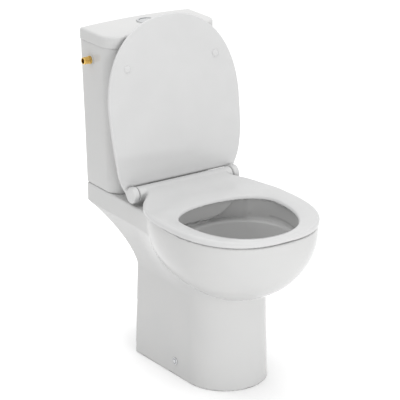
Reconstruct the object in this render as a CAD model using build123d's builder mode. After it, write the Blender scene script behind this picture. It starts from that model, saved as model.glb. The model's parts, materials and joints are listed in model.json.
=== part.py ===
from build123d import *
import os
from math import copysign, cos, pi, radians, sin

# Close coupled toilet: ceramic pan and cistern, dual-flush valve, float-operated
# fill valve, hinged seat and cover. Millimetres, +Z up. The origin is on the floor,
# on the centre line, in the middle of the pan's foot. The user sits facing -Y and
# the wall is at y = wall_y.

os.makedirs("parts", exist_ok=True)

# ---------------------------------------------------------------- driving sizes
wall_y = 315.0  # back of the cistern and of the shelf
pan_top = 400.0  # rim and shelf height
running_gap = 0.3  # between solids that move past each other
pivot_gap = 0.05  # radial clearance of a pin in its hole

# pan: bowl, foot, shelf and trapway
bowl_half_width = 177.0
bowl_front = -305.0
bowl_wide_y = -113.0
bowl_rear = 150.0
bowl_depth = 178.0
bowl_power = 2.13  # roundness of the bowl's section, 2 is an ellipse
rim_power = 2.15
mouth = (138.0, -262.0, 8.0)  # half width, front, rear, from the rim to the ledge
ledge_height = 359.0
cavity_sections = [  # height, half width, front, rear, below the ledge
    (ledge_height, 122.0, -246.0, -7.0),
    (330.0, 121.0, -240.0, -8.0),
    (300.0, 112.0, -226.0, -11.0),
    (268.0, 92.0, -194.0, -15.0),
    (240.0, 68.0, -152.0, -20.0),
    (216.0, 44.0, -110.0, -23.0),
    (200.0, 34.0, -94.0, -26.0),
]
foot_rear = 158.0
foot_front = -165.0
foot_half_width = 109.5
foot_front_radius = 101.0  # also half the width of the neck
neck_half_width = 101.0
neck_front = -157.0
neck_height = 228.0
neck_overlap = 34.0  # how far the neck carries on up inside the bowl
shelf_half_width = 142.5
shelf_underside = 352.0
shelf_root = 210.0  # where the shelf's body starts inside the neck
hollow_front = 26.0  # front of the space under the shelf
deck_thickness = 14.0
rim_radius = 5.0
wall = 12.0
flare = [  # height, half width, rear face
    (240.0, 102.5, 160.0),
    (260.0, 107.0, 168.0),
    (284.0, 114.5, 187.0),
    (309.0, 124.5, 214.0),
    (329.0, 133.0, 246.0),
    (344.0, 139.5, 279.0),
]
trap_bore = 34.0
trap_outer = 44.0
trap_bend = 46.0
trap_route = [(-60, 212), (-60, 131), (13.2, 131), (107.7, 295), (174, 180), (234, 180)]
outlet_radius = 51.0
outlet_height = 180.0
outlet_length = 37.0
outlet_end = trap_route[-1][0]

# cistern
tank_base_half_width = 142.5
tank_top_half_width = 152.5
tank_front = 189.0
tank_bow = 12.0
tank_corner = 36.0
tank_wall = 8.0
tank_floor = 10.0
tank_top = 759.5
lid_half_width = 154.5
lid_front = 186.5
lid_edge = 786.5
lid_top = 792.0
lid_plate = 780.0
collar_seat = 789.5  # floor of the ring-shaped step in the lid
valve_y = 250.0
button_y = 262.0

# flush valve, on the axis x = 0, y = valve_y
tail_radius = 30.0
recess_radius = 47.0
recess_floor = 376.0
tank_hole_radius = 31.0
flange_radius = 42.0
valve_seat = 421.0
tube_radius = 14.0
tower_radius = 36.0
tower_top = 690.0
button_radius = 19.2
collar_bore = 19.5
button_split = 3.0

# fill valve and its brass tail
inlet_y = 270.0
inlet_z = 718.0
inlet_radius = 8.75
inlet_shank_radius = 7.9  # inside the nut and the cistern's wall
inlet_bore = 5.75
inlet_end = -175.5
fill_x = -104.0

# fixings
bolt_radius = 4.0
tank_bolt_x = 85.0
hinge_bolt_x = 77.5
side_screw_y = -8.0
side_screw_z = 36.5
floor_screw_x = 70.0

# seat and cover, drawn in the hinge frame: x across, y forward from the hinge, z up
hinge_y = 108.0
hinge_z = 427.0
cover_angle = 99.15  # how far the cover is open at rest
bar_radius = 19.0
bar_half_length = 132.0
ear_radius = 20.0
ear_half_length = 150.0
pin_radius = 4.0
seat_length = 407.0
seat_half_width = 178.0
seat_wide = 190.0
seat_top = -3.0
seat_underside = -23.0
seat_hole = (117.0, 360.0, 235.0, 106.0)  # half width, front, widest, rear
cover_length = 406.0
cover_half_width = 182.0
cover_wide = 190.0
cover_inner = 1.0  # its inner face, above the seat's top
cover_tip = 7.0
outline_power = 2.25


def egg(half_width, front, wide, rear, power, steps=32):
    """Closed curve round an egg that is widest at y = wide."""
    points = []
    for step in range(steps):
        across = cos(2 * pi * step / steps)
        along = sin(2 * pi * step / steps)
        reach = rear - wide if along > 0 else wide - front
        x = half_width * copysign(abs(across) ** (2 / power), across)
        y = wide + reach * copysign(abs(along) ** (2 / power), along)
        points.append((x, y))
    return Spline(*points, periodic=True)


def tapered_outline(shoulder, wide, half_width, length, inset=0.0):
    """Symmetric outline with straight back, curved shoulders and a rounded nose."""
    nose = []
    for step in range(7):
        angle = pi / 2 * (step + 1) / 7
        x = (half_width - inset) * cos(angle) ** (2 / outline_power)
        y = wide + (length - inset - wide) * sin(angle) ** (2 / outline_power)
        nose.append((x, y))
    side = [(x - inset, y) for x, y in shoulder] + [(half_width - inset, wide)]
    right = side + nose
    left = [(-x, y) for x, y in reversed(right[:-1])]
    curve = Spline(*right, *left)
    back = Line(curve @ 1, curve @ 0)
    return curve, back


def foot_outline(half_width, front, radius, rear, inset=0.0):
    """Straight sides and back with a round front."""
    x = half_width - inset
    r = radius - inset
    nose = CenterArc((0, front + radius), r, 180, 180)
    right = Line(nose @ 1, (x, rear))
    back = Line(right @ 1, (-x, rear))
    left = Line(back @ 1, nose @ 0)
    return nose, right, back, left


def tank_outline(half_width, front, bow, rear):
    """Flat back and sides with a bowed front."""
    front_arc = ThreePointArc((-half_width, front), (0, front - bow), (half_width, front))
    right = Line(front_arc @ 1, (half_width, rear))
    back = Line(right @ 1, (-half_width, rear))
    left = Line(back @ 1, front_arc @ 0)
    return front_arc, right, back, left


def hinge_frame(angle):
    """Frame on the hinge axis whose y runs along a lid that is open by angle."""
    turn = radians(angle)
    return Plane(
        origin=(0, hinge_y, hinge_z), x_dir=(-1, 0, 0), z_dir=(0, sin(turn), cos(turn))
    )


def side_of(frame):
    """Plane across the hinge axis: x along the lid, y out of its top."""
    return Plane(origin=frame.origin, x_dir=frame.y_dir, z_dir=frame.x_dir)


def save(part, name):
    part.label = name
    export_step(part, f"parts/{name}.step")


# ------------------------------------------------------------------------- pan
deck_underside = pan_top - deck_thickness

with BuildPart() as bowl_outer:
    for depth_share in (0, 0.12, 0.3, 0.5, 0.68, 0.82, 0.92, 0.978):
        shrink = (1 - depth_share**bowl_power) ** (1 / bowl_power)
        middle = bowl_wide_y + 8 * depth_share
        with BuildSketch(Plane.XY.offset(pan_top - bowl_depth * depth_share)):
            with BuildLine():
                egg(
                    bowl_half_width * shrink,
                    middle - (bowl_wide_y - bowl_front) * shrink,
                    middle,
                    middle + (bowl_rear - bowl_wide_y) * shrink**0.5,
                    rim_power,
                )
            make_face()
    loft()
    fillet(bowl_outer.faces().sort_by(Axis.Z)[-1].edges(), radius=rim_radius)

foot_levels = ((0, foot_half_width, foot_front), (neck_height, neck_half_width, neck_front))
with BuildPart() as foot_outer:
    for height, half, front in foot_levels:
        with BuildSketch(Plane.XY.offset(height)):
            with BuildLine():
                foot_outline(half, front, foot_front_radius, foot_rear)
            make_face()
    loft(ruled=True)
    extrude(foot_outer.faces().sort_by(Axis.Z)[-1], amount=neck_overlap)

side_profile = [(foot_rear, neck_height)] + [(rear, height) for height, half, rear in flare]
front_profile = [(neck_half_width, neck_height)] + [(half, height) for height, half, rear in flare]

with BuildPart() as shelf_outer:
    with BuildSketch(Plane.YZ):
        with BuildLine():
            curve = Spline(*side_profile, (wall_y, shelf_underside), tangents=[(0, 1), (1, 0.15)])
            Polyline(
                curve @ 1, (wall_y, pan_top), (0, pan_top), (0, shelf_root),
                (foot_rear, shelf_root), curve @ 0,
            )
        make_face()
    extrude(amount=shelf_half_width, both=True)
    with BuildSketch(Plane.XZ):
        with BuildLine():
            right = Spline(*front_profile, (shelf_half_width, shelf_underside), tangents=[(0, 1), (0.4, 1)])
            Polyline(right @ 1, (shelf_half_width, pan_top), (0, pan_top))
            Polyline((0, shelf_root), (neck_half_width, shelf_root), right @ 0)
            mirror(about=Plane.YZ)
        make_face()
    extrude(amount=wall_y + 1, both=True, mode=Mode.INTERSECT)
    top_face = shelf_outer.faces().sort_by(Axis.Z)[-1]
    fillet(top_face.edges().filter_by(Axis.Y), radius=rim_radius)

foot_ceiling = 204.0
with BuildPart() as foot_hollow:
    for height, half, front in foot_levels:
        share = height / neck_height
        with BuildSketch(Plane.XY.offset(foot_ceiling * share - 1 + share)):
            with BuildLine():
                foot_outline(half, front, foot_front_radius, foot_rear + 60, wall)
            make_face()
    loft(ruled=True)

hollow_root = foot_ceiling - 16
rear_wall_base = shelf_underside - 14
with BuildPart() as shelf_hollow:
    with BuildSketch(Plane.YZ):
        with BuildLine():
            Polyline(
                (hollow_front, hollow_root), (hollow_front, deck_underside),
                (wall_y - wall, deck_underside), (wall_y - wall, rear_wall_base),
                (wall_y + 5, rear_wall_base), (wall_y + 5, hollow_root), close=True,
            )
        make_face()
    extrude(amount=shelf_half_width, both=True)
    with BuildSketch(Plane.XZ):
        with BuildLine():
            low = (neck_half_width - wall, neck_height)
            inner = [low] + [(half - wall, height) for height, half, rear in flare]
            right = Spline(*inner, (shelf_half_width - wall, shelf_underside), tangents=[(0, 1), (0.4, 1)])
            Polyline(right @ 1, (shelf_half_width - wall, pan_top), (0, pan_top))
            Polyline((0, hollow_root - 1), (low[0], hollow_root - 1), low)
            mirror(about=Plane.YZ)
        make_face()
    extrude(amount=wall_y + 10, both=True, mode=Mode.INTERSECT)

with BuildPart() as trap_pipe:
    with BuildLine(Plane.YZ) as route:
        FilletPolyline(*trap_route, radius=trap_bend)
    with BuildSketch(Plane(origin=route.line @ 0, z_dir=route.line % 0)):
        Circle(trap_outer)
    sweep(path=route.line)
    with BuildSketch(Plane.XZ.offset(-outlet_end)):
        with Locations((0, outlet_height)):
            Circle(outlet_radius)
    extrude(amount=outlet_length)

with BuildPart() as trap_water:
    with BuildSketch(Plane(origin=route.line @ 0, z_dir=route.line % 0)):
        Circle(trap_bore)
    sweep(path=route.line)

with BuildPart() as bowl_cavity:
    for height, half, front, rear in cavity_sections:
        with BuildSketch(Plane.XY.offset(height)):
            with BuildLine():
                egg(half, front, (front + rear) / 2, rear, rim_power)
            make_face()
    loft()
    with BuildSketch(Plane.XY.offset(ledge_height)):
        with BuildLine():
            half, front, rear = mouth
            egg(half, front, (front + rear) / 2, rear, rim_power)
        make_face()
    extrude(amount=pan_top + 1 - ledge_height)

channel_half_width = 33.0
channel_mouth_half_width = 50.0
channel_floor = ledge_height
channel_top = 375.0
casing_front = 20.0
casing_rear = wall_y - wall
casing_half_width = recess_radius + wall
casing_base = channel_floor - wall
with BuildPart() as pan:
    add(bowl_outer.part)
    add(foot_outer.part)
    add(shelf_outer.part)
    add(foot_hollow.part, mode=Mode.SUBTRACT)
    add(shelf_hollow.part, mode=Mode.SUBTRACT)
    # the water channel's casing under the deck
    with BuildSketch(Plane.XY.offset(casing_base)):
        with Locations((0, (casing_front + casing_rear) / 2)):
            Rectangle(2 * casing_half_width, casing_rear - casing_front)
    extrude(amount=deck_underside - casing_base)
    add(trap_pipe.part)
    add(bowl_cavity.part, mode=Mode.SUBTRACT)
    add(trap_water.part, mode=Mode.SUBTRACT)
    # spreader channel from the cistern's outlet to the back of the bowl
    with BuildSketch(Plane.XY.offset(channel_floor)):
        with BuildLine():
            Polyline(
                (-channel_mouth_half_width, -20), (channel_mouth_half_width, -20),
                (channel_half_width, 40), (channel_half_width, valve_y),
                (-channel_half_width, valve_y), (-channel_half_width, 40), close=True,
            )
        make_face()
        with Locations((0, valve_y)):
            Circle(channel_half_width)
    extrude(amount=channel_top - channel_floor, mode=Mode.SUBTRACT)
    with BuildSketch(Plane.XY.offset(channel_top)):
        with Locations((0, valve_y)):
            Circle(channel_half_width)
    extrude(amount=recess_floor - channel_top, mode=Mode.SUBTRACT)
    with BuildSketch(Plane.XY.offset(recess_floor)):
        with Locations((0, valve_y)):
            Circle(recess_radius)
    extrude(amount=pan_top - recess_floor, mode=Mode.SUBTRACT)
    # bolt holes in the deck and screw holes in the foot
    with Locations(
        (-tank_bolt_x, valve_y, pan_top), (tank_bolt_x, valve_y, pan_top),
        (-hinge_bolt_x, hinge_y, pan_top), (hinge_bolt_x, hinge_y, pan_top),
    ):
        Hole(bolt_radius + 2, depth=deck_thickness + 1)
    with BuildSketch(Plane.YZ.offset(-foot_half_width - 1)):
        with Locations((side_screw_y, side_screw_z)):
            Circle(bolt_radius + 1)
    extrude(amount=2 * foot_half_width + 2, mode=Mode.SUBTRACT)

# The casting is saved in blocks that meet face to face, so that its hollows stay open
# in a simplified model. Each block is (half width, front, rear, base, top).
far = 2 * wall_y
sump_front, throat_rear, throat_base = -110.0, -14.0, 177.0
trap_crown = 118.0
sump_box = (trap_outer + 2, sump_front, hollow_front, 80.0, foot_ceiling)
throat_box = (trap_outer + 2, sump_front, throat_rear, throat_base, foot_ceiling)
trap_box = (outlet_radius + 2, hollow_front, outlet_end + 1, 0.0, casing_base)
rising_box = (outlet_radius + 2, hollow_front, trap_crown, 0.0, casing_base)
falling_box = (outlet_radius + 2, trap_crown, outlet_end + 1, 0.0, casing_base)
channel_box = (casing_half_width, hollow_front, casing_rear, casing_base, pan_top)
foot_box = (far, -far, far, 0.0, foot_ceiling)
bowl_middle = 303.0
bowl_box = (far, -far, hollow_front, foot_ceiling, bowl_middle)
rim_box = (far, -far, hollow_front, bowl_middle, pan_top)
flanks_box = (far, hollow_front, far, foot_ceiling, rear_wall_base)
deck_box = (far, hollow_front, far, rear_wall_base, pan_top)


def block(limits, mode):
    half, front, rear, base, top = limits
    with Locations((0, (front + rear) / 2, (base + top) / 2)):
        Box(2 * half, rear - front, top - base, mode=mode)


for name, kept, left_out in (
    ("pan_foot", foot_box, (sump_box, trap_box)),
    ("pan_sump", sump_box, (throat_box,)),
    ("pan_throat", throat_box, ()),
    ("pan_trap", rising_box, ()),
    ("pan_outlet", falling_box, ()),
    ("pan_bowl", bowl_box, ()),
    ("pan_rim", rim_box, ()),
    ("pan_flanks", flanks_box, (trap_box,)),
    ("pan_channel", channel_box, ()),
    ("pan_deck", deck_box, (trap_box, channel_box)),
):
    with BuildPart() as casting:
        add(pan.part)
        block(kept, Mode.INTERSECT)
        for limits in left_out:
            block(limits, Mode.SUBTRACT)
    save(casting.part, name)

# --------------------------------------------------------------- cistern tank
with BuildPart() as cistern_tank:
    for height, half in ((pan_top, tank_base_half_width), (tank_top, tank_top_half_width)):
        with BuildSketch(Plane.XY.offset(height)) as section:
            with BuildLine():
                tank_outline(half, tank_front, tank_bow, wall_y)
            make_face()
            fillet(section.vertices().group_by(Axis.Y)[0], radius=tank_corner)
            fillet(section.vertices().group_by(Axis.Y)[-1], radius=tank_wall)
    loft(ruled=True)
    floor_share = tank_floor / (tank_top - pan_top)
    inner_base = tank_base_half_width + floor_share * (tank_top_half_width - tank_base_half_width)
    for height, half in ((pan_top + tank_floor, inner_base), (tank_top, tank_top_half_width)):
        with BuildSketch(Plane.XY.offset(height)) as section:
            with BuildLine():
                tank_outline(half - tank_wall, tank_front + tank_wall, tank_bow, wall_y - tank_wall)
            make_face()
            fillet(section.vertices().group_by(Axis.Y)[0], radius=tank_corner - tank_wall)
            fillet(section.vertices().group_by(Axis.Y)[-1], radius=tank_wall)
    loft(ruled=True, mode=Mode.SUBTRACT)
    with Locations((0, valve_y, pan_top + tank_floor)):
        Hole(tank_hole_radius, depth=tank_floor + 1)
    for side in (-1, 1):
        with Locations((side * tank_bolt_x, valve_y, pan_top + tank_floor)):
            Hole(bolt_radius + 1, depth=tank_floor + 1)
    with BuildSketch(Plane.YZ.offset(-lid_half_width)):
        with Locations((inlet_y, inlet_z)):
            Circle(inlet_shank_radius + 0.65)
    extrude(amount=2 * tank_wall, mode=Mode.SUBTRACT)
save(cistern_tank.part, "cistern_tank")

# ---------------------------------------------------------------- cistern lid
lid_wall = tank_wall + lid_half_width - tank_top_half_width
with BuildPart() as cistern_lid:
    with BuildSketch(Plane.XY.offset(tank_top)) as section:
        with BuildLine():
            tank_outline(lid_half_width, lid_front, tank_bow, wall_y)
        make_face()
        fillet(section.vertices().group_by(Axis.Y)[0], radius=tank_corner + 2)
        fillet(section.vertices().group_by(Axis.Y)[-1], radius=tank_wall)
    extrude(amount=lid_top - tank_top)
    # gentle crown, falling from the middle to every edge
    with BuildSketch(Plane.XZ):
        with BuildLine():
            side = lid_half_width + 5
            crown = ThreePointArc((-side, lid_edge - 0.4), (0, lid_top), (side, lid_edge - 0.4))
            Polyline(crown @ 1, (side, tank_top - 9), (-side, tank_top - 9), crown @ 0)
        make_face()
    extrude(amount=wall_y + 10, both=True, mode=Mode.INTERSECT)
    fillet(cistern_lid.faces().sort_by(Axis.Z)[-1].outer_wire().edges(), radius=4)
    with BuildSketch(Plane.XY.offset(tank_top)) as section:
        with BuildLine():
            tank_outline(
                lid_half_width - lid_wall, lid_front + lid_wall, tank_bow, wall_y - tank_wall
            )
        make_face()
        fillet(section.vertices().group_by(Axis.Y)[0], radius=tank_corner - tank_wall)
        fillet(section.vertices().group_by(Axis.Y)[-1], radius=tank_wall)
    extrude(amount=lid_plate - tank_top, mode=Mode.SUBTRACT)
    # locating lip inside the tank's mouth
    with BuildSketch(Plane.XY.offset(tank_top - 6)) as lip:
        for inset, mode in ((lid_wall + 1.5, Mode.ADD), (lid_wall + 6.5, Mode.SUBTRACT)):
            with BuildSketch(mode=Mode.PRIVATE) as ring:
                with BuildLine():
                    tank_outline(
                        lid_half_width - inset, lid_front + inset, tank_bow, wall_y - inset
                    )
                make_face()
                fillet(ring.vertices().group_by(Axis.Y)[0], radius=tank_corner - inset)
                fillet(ring.vertices().group_by(Axis.Y)[-1], radius=4)
            add(ring.sketch, mode=mode)
    extrude(amount=lid_plate - tank_top + 6)
    with Locations((0, button_y, lid_top)):
        CounterBoreHole(radius=22, counter_bore_radius=25, counter_bore_depth=lid_top - collar_seat)
save(cistern_lid.part, "cistern_lid")

# ------------------------------------------------------------- flush buttons
collar_base = 765.0
collar_radius = 21.7
collar_top = 793.5
button_top = 792.5
button_base = 784.0
rod_x = 9.5
rod_radius = 2.5
rod_end = tower_top + 8

with BuildPart() as button_collar:
    with BuildSketch(Plane.XY.offset(collar_seat)):
        with Locations((0, button_y)):
            Circle(24.6)
    extrude(amount=collar_top - collar_seat)
    chamfer(button_collar.edges().group_by(Axis.Z)[-1], length=1)
    with BuildSketch(Plane.XY.offset(collar_base)):
        with Locations((0, button_y)):
            Circle(collar_radius)
    extrude(amount=collar_top - 2 - collar_base)
    with BuildSketch(Plane.XY.offset(collar_base + 3)):
        with Locations((0, button_y)):
            Circle(collar_bore)
    extrude(amount=40, mode=Mode.SUBTRACT)
    with Locations((-rod_x, button_y, collar_base + 3), (rod_x, button_y, collar_base + 3)):
        Hole(rod_radius + running_gap, depth=4)
save(button_collar.part, "button_collar")

with BuildPart() as collar_nut:
    with BuildSketch(Plane.XY.offset(lid_plate - 7)):
        with Locations((0, button_y)):
            RegularPolygon(radius=31, side_count=8)
            Circle(collar_radius, mode=Mode.SUBTRACT)
    extrude(amount=7)
    chamfer(collar_nut.edges().group_by(Axis.Z)[0], length=0.8)
save(collar_nut.part, "collar_nut")

for name, side in (("full_flush_button", -1), ("half_flush_button", 1)):
    edge = button_split if side < 0 else button_split + 2 * running_gap
    with BuildPart() as button:
        with BuildSketch(Plane.XY.offset(button_base)):
            with Locations((0, button_y)):
                Circle(button_radius)
            with Locations((edge - side * 30, button_y)):
                Rectangle(60, 60, mode=Mode.SUBTRACT)
        extrude(amount=button_top - button_base)
        fillet(button.edges().group_by(Axis.Z)[-1], radius=1.2)
        with BuildSketch(Plane.XY.offset(button_base)):
            with Locations((side * rod_x, button_y)):
                Circle(rod_radius)
        extrude(amount=4, mode=Mode.SUBTRACT)
    save(button.part, name)

for name, side in (("full_push_rod", -1), ("half_push_rod", 1)):
    with BuildPart() as rod:
        with BuildSketch(Plane.XY.offset(rod_end)):
            with Locations((side * rod_x, button_y)):
                Circle(rod_radius)
        extrude(amount=button_base + 4 - rod_end)
        with BuildSketch(Plane.XY.offset(rod_end)):
            with Locations((side * rod_x, button_y)):
                Circle(4)
        extrude(amount=5)
    save(rod.part, name)

spring_base = collar_base + 3 + running_gap
wire_radius = 0.5
spring_length = button_base - running_gap - spring_base - 2 * wire_radius
for name, side in (("full_button_spring", -1), ("half_button_spring", 1)):
    with BuildPart() as spring:
        with BuildLine(Plane(origin=(side * rod_x, button_y, spring_base + wire_radius))) as coil:
            Helix(pitch=spring_length / 4, height=spring_length, radius=4)
        with BuildSketch(Plane(origin=coil.line @ 0, z_dir=coil.line % 0)):
            Circle(wire_radius)
        sweep(path=coil.line, is_frenet=True)
    save(spring.part, name)

# --------------------------------------------------------------- flush valve
washer_top = pan_top + tank_floor + 3
with BuildPart() as flush_valve_base:
    with BuildSketch(Plane.XY.offset(recess_floor - 8)):
        with Locations((0, valve_y)):
            Circle(tail_radius)
    extrude(amount=washer_top + 5 - recess_floor + 8)
    with BuildSketch(Plane.XY.offset(washer_top)):
        with Locations((0, valve_y)):
            Circle(flange_radius)
    extrude(amount=5)
    with BuildSketch(Plane.XY.offset(recess_floor - 8)):
        with Locations((0, valve_y)):
            Circle(tail_radius - 4)
    extrude(amount=60, mode=Mode.SUBTRACT)
    # raised lip that the seal closes on
    with BuildSketch(Plane.XY.offset(washer_top + 5)):
        with Locations((0, valve_y)):
            Circle(tail_radius)
            Circle(tail_radius - 4, mode=Mode.SUBTRACT)
    extrude(amount=valve_seat - washer_top - 5)
save(flush_valve_base.part, "flush_valve_base")

with BuildPart() as tank_seal:
    with BuildSketch(Plane.XY.offset(pan_top + tank_floor)):
        with Locations((0, valve_y)):
            Circle(flange_radius)
            Circle(tail_radius, mode=Mode.SUBTRACT)
    extrude(amount=3)
save(tank_seal.part, "tank_seal")

gasket_top = recess_floor + 12
with BuildPart() as valve_backnut:
    with BuildSketch(Plane.XY.offset(gasket_top)):
        with Locations((0, valve_y)):
            Circle(40)
            with PolarLocations(40, 8):
                Rectangle(6, 9)
            Circle(tail_radius, mode=Mode.SUBTRACT)
    extrude(amount=pan_top - gasket_top)
save(valve_backnut.part, "valve_backnut")

with BuildPart() as coupling_gasket:
    with BuildSketch(Plane.XY.offset(recess_floor)):
        with Locations((0, valve_y)):
            Circle(recess_radius - 0.5)
            Circle(tail_radius, mode=Mode.SUBTRACT)
    extrude(amount=gasket_top - recess_floor)
    chamfer(coupling_gasket.edges().group_by(Axis.Z)[-1].sort_by(SortBy.LENGTH)[-1], length=4)
save(coupling_gasket.part, "coupling_gasket")

leg_base = washer_top + 5
tower_base = 470.0
with BuildPart() as flush_valve_tower:
    with BuildSketch(Plane.XY.offset(tower_base)):
        with Locations((0, valve_y)):
            Circle(tower_radius)
            Circle(tower_radius - 3, mode=Mode.SUBTRACT)
    extrude(amount=640 - tower_base)
    # four legs standing on the base's flange
    with BuildSketch(Plane.XY.offset(leg_base)):
        with Locations((0, valve_y)):
            with PolarLocations(tower_radius - 1.5, 4, start_angle=45):
                Rectangle(3, 14)
    extrude(amount=tower_base + 2 - leg_base)
    # inner guide for the overflow tube, on a bridge
    with BuildSketch(Plane.XY.offset(600)):
        with Locations((0, valve_y)):
            Circle(tower_radius)
            Circle(tube_radius + 0.5, mode=Mode.SUBTRACT)
    extrude(amount=6)
    # neck and head that carries the rods' lever box
    with BuildSketch(Plane.XY.offset(636)):
        with Locations((0, valve_y)):
            Circle(tower_radius)
            Circle(tower_radius - 14, mode=Mode.SUBTRACT)
    extrude(amount=6)
    with BuildSketch(Plane.XY.offset(640)):
        with Locations((0, valve_y)):
            with PolarLocations(28, 2, start_angle=90):
                Rectangle(6, 22)
    extrude(amount=tower_top - 640)
    with BuildSketch(Plane.XY.offset(tower_top - 6)):
        with Locations((0, valve_y)):
            Rectangle(44, 62)
    extrude(amount=6)
    fillet(flush_valve_tower.edges().group_by(Axis.Z)[-1], radius=1.5)
    # windows in the tower
    with BuildSketch(Plane.YZ):
        with Locations((valve_y, 535)):
            RectangleRounded(34, 80, 6)
    extrude(amount=tower_radius + 1, both=True, mode=Mode.SUBTRACT)
save(flush_valve_tower.part, "flush_valve_tower")

seal_base = valve_seat + running_gap
with BuildPart() as valve_seal:
    with BuildSketch(Plane.XY.offset(seal_base)):
        with Locations((0, valve_y)):
            Circle(tail_radius + 1)
            Circle(tube_radius - 2.5, mode=Mode.SUBTRACT)
    extrude(amount=3)
save(valve_seal.part, "valve_seal")

with BuildPart() as overflow_tube:
    with BuildSketch(Plane.XY.offset(seal_base + 3)):
        with Locations((0, valve_y)):
            Circle(tail_radius - 1)
    extrude(amount=4)
    with BuildSketch(Plane.XY.offset(seal_base + 7)):
        with Locations((0, valve_y)):
            Circle(tube_radius)
    extrude(amount=650 - seal_base - 7)
    with BuildSketch(Plane.XY.offset(seal_base)):
        with Locations((0, valve_y)):
            Circle(tube_radius - 2.5)
    extrude(amount=650, mode=Mode.SUBTRACT)
save(overflow_tube.part, "overflow_tube")

# ---------------------------------------------------------------- fill valve
tank_side = tank_base_half_width + (inlet_z - pan_top) / (tank_top - pan_top) * (
    tank_top_half_width - tank_base_half_width
)
inner_side = tank_side - tank_wall
nut_face = -tank_side - 6.0
inlet_length = 50.0
with BuildPart() as inlet_tail:
    with BuildSketch(Plane.YZ.offset(inlet_end)):
        with Locations((inlet_y, inlet_z)):
            Circle(inlet_radius)
    extrude(amount=nut_face - inlet_end)
    with BuildSketch(Plane.YZ.offset(nut_face)):
        with Locations((inlet_y, inlet_z)):
            Circle(inlet_shank_radius)
    extrude(amount=inlet_end + inlet_length - nut_face)
    chamfer(inlet_tail.edges().group_by(Axis.X)[0], length=1)
    with BuildSketch(Plane.YZ.offset(inlet_end)):
        with Locations((inlet_y, inlet_z)):
            Circle(inlet_bore)
    extrude(amount=inlet_length, mode=Mode.SUBTRACT)
save(inlet_tail.part, "inlet_tail")

for name, start, thickness, radius in (
    ("inlet_backnut", nut_face, 4.0, 9.8),
    ("inlet_flange", -tank_side - 2.0, 1.5, 11.8),
    ("inlet_washer", -inner_side + 0.6, 3.0, 14.0),
):
    with BuildPart() as ring:
        with BuildSketch(Plane.YZ.offset(start)):
            with Locations((inlet_y, inlet_z)):
                Circle(radius)
                Circle(inlet_shank_radius, mode=Mode.SUBTRACT)
        extrude(amount=thickness)
    save(ring.part, name)

body_start = -inner_side + 3.6
stem_radius = 7.0
float_base = 560.0
float_height = 60.0
with BuildPart() as fill_valve_body:
    with BuildSketch(Plane.YZ.offset(body_start)):
        with Locations((inlet_y, inlet_z)):
            Circle(13)
            Circle(inlet_shank_radius, mode=Mode.SUBTRACT)
    extrude(amount=inlet_end + inlet_length - body_start)
    with BuildSketch(Plane.YZ.offset(inlet_end + inlet_length)):
        with Locations((inlet_y, inlet_z)):
            Circle(13)
    extrude(amount=fill_x - inlet_end - inlet_length)
    with BuildSketch(Plane.XY.offset(inlet_z - 26)):
        with Locations((fill_x, inlet_y)):
            Circle(14)
    extrude(amount=44)
    fillet(fill_valve_body.edges().group_by(Axis.Z)[-1], radius=2)
    with BuildSketch(Plane.XY.offset(float_base - 20)):
        with Locations((fill_x, inlet_y)):
            Circle(stem_radius)
    extrude(amount=inlet_z - 20 - float_base + 20)
    with BuildSketch(Plane.XY.offset(float_base - 24)):
        with Locations((fill_x, inlet_y)):
            Circle(12)
    extrude(amount=24 - running_gap)
save(fill_valve_body.part, "fill_valve_body")

with BuildPart() as fill_float:
    with BuildSketch(Plane.XY.offset(float_base)):
        with Locations((fill_x, inlet_y)):
            Circle(24)
    extrude(amount=float_height)
    fillet(fill_float.edges().group_by(Axis.Z)[-1], radius=4)
    with BuildSketch(Plane.XY.offset(float_base)):
        with Locations((fill_x, inlet_y)):
            Circle(stem_radius + 0.4)
    extrude(amount=float_height, mode=Mode.SUBTRACT)
    # link up to the lever
    with BuildSketch(Plane.XY.offset(float_base + float_height - 10)):
        with Locations((fill_x + 20, inlet_y)):
            Rectangle(5, 5)
    extrude(amount=inlet_z + 14 - float_base - float_height + 10)
save(fill_float.part, "fill_float")

lever_pivot = (fill_x - 8, inlet_z + 26)
lever_reach = 28.0
with BuildPart() as float_lever:
    with BuildSketch(Plane.XZ.offset(-inlet_y)):
        with Locations(lever_pivot):
            Circle(4.5)
        with Locations((lever_pivot[0] + lever_reach / 2 + 2, lever_pivot[1] - 4)):
            Rectangle(lever_reach + 4, 3.5, rotation=-13.5)
        with Locations(lever_pivot):
            Circle(2 + pivot_gap, mode=Mode.SUBTRACT)
    extrude(amount=4, both=True)
save(float_lever.part, "float_lever")

with BuildPart() as lever_bracket:
    for offset in (4.5, -7.0):
        with BuildSketch(Plane.XZ.offset(-inlet_y + offset)):
            with Locations((lever_pivot[0], lever_pivot[1] - 2)):
                Rectangle(9, 12)
        extrude(amount=2.5)
    with BuildSketch(Plane.XZ.offset(-inlet_y)):
        with Locations(lever_pivot):
            Circle(2)
    extrude(amount=7, both=True)
save(lever_bracket.part, "lever_bracket")

# ------------------------------------------------------- cistern to pan bolts
with BuildPart() as tank_bolts:
    with BuildSketch(Plane.XY.offset(deck_underside - 26)):
        with Locations((-tank_bolt_x, valve_y), (tank_bolt_x, valve_y)):
            Circle(bolt_radius)
    extrude(amount=washer_top - deck_underside + 26)
    with BuildSketch(Plane.XY.offset(washer_top)):
        with Locations((-tank_bolt_x, valve_y), (tank_bolt_x, valve_y)):
            RegularPolygon(radius=8, side_count=6)
    extrude(amount=5)
save(tank_bolts.part, "tank_bolts")

with BuildPart() as tank_bolt_washers:
    with BuildSketch(Plane.XY.offset(pan_top + tank_floor)):
        with Locations((-tank_bolt_x, valve_y), (tank_bolt_x, valve_y)):
            Circle(11)
            Circle(bolt_radius, mode=Mode.SUBTRACT)
    extrude(amount=3)
save(tank_bolt_washers.part, "tank_bolt_washers")


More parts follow.
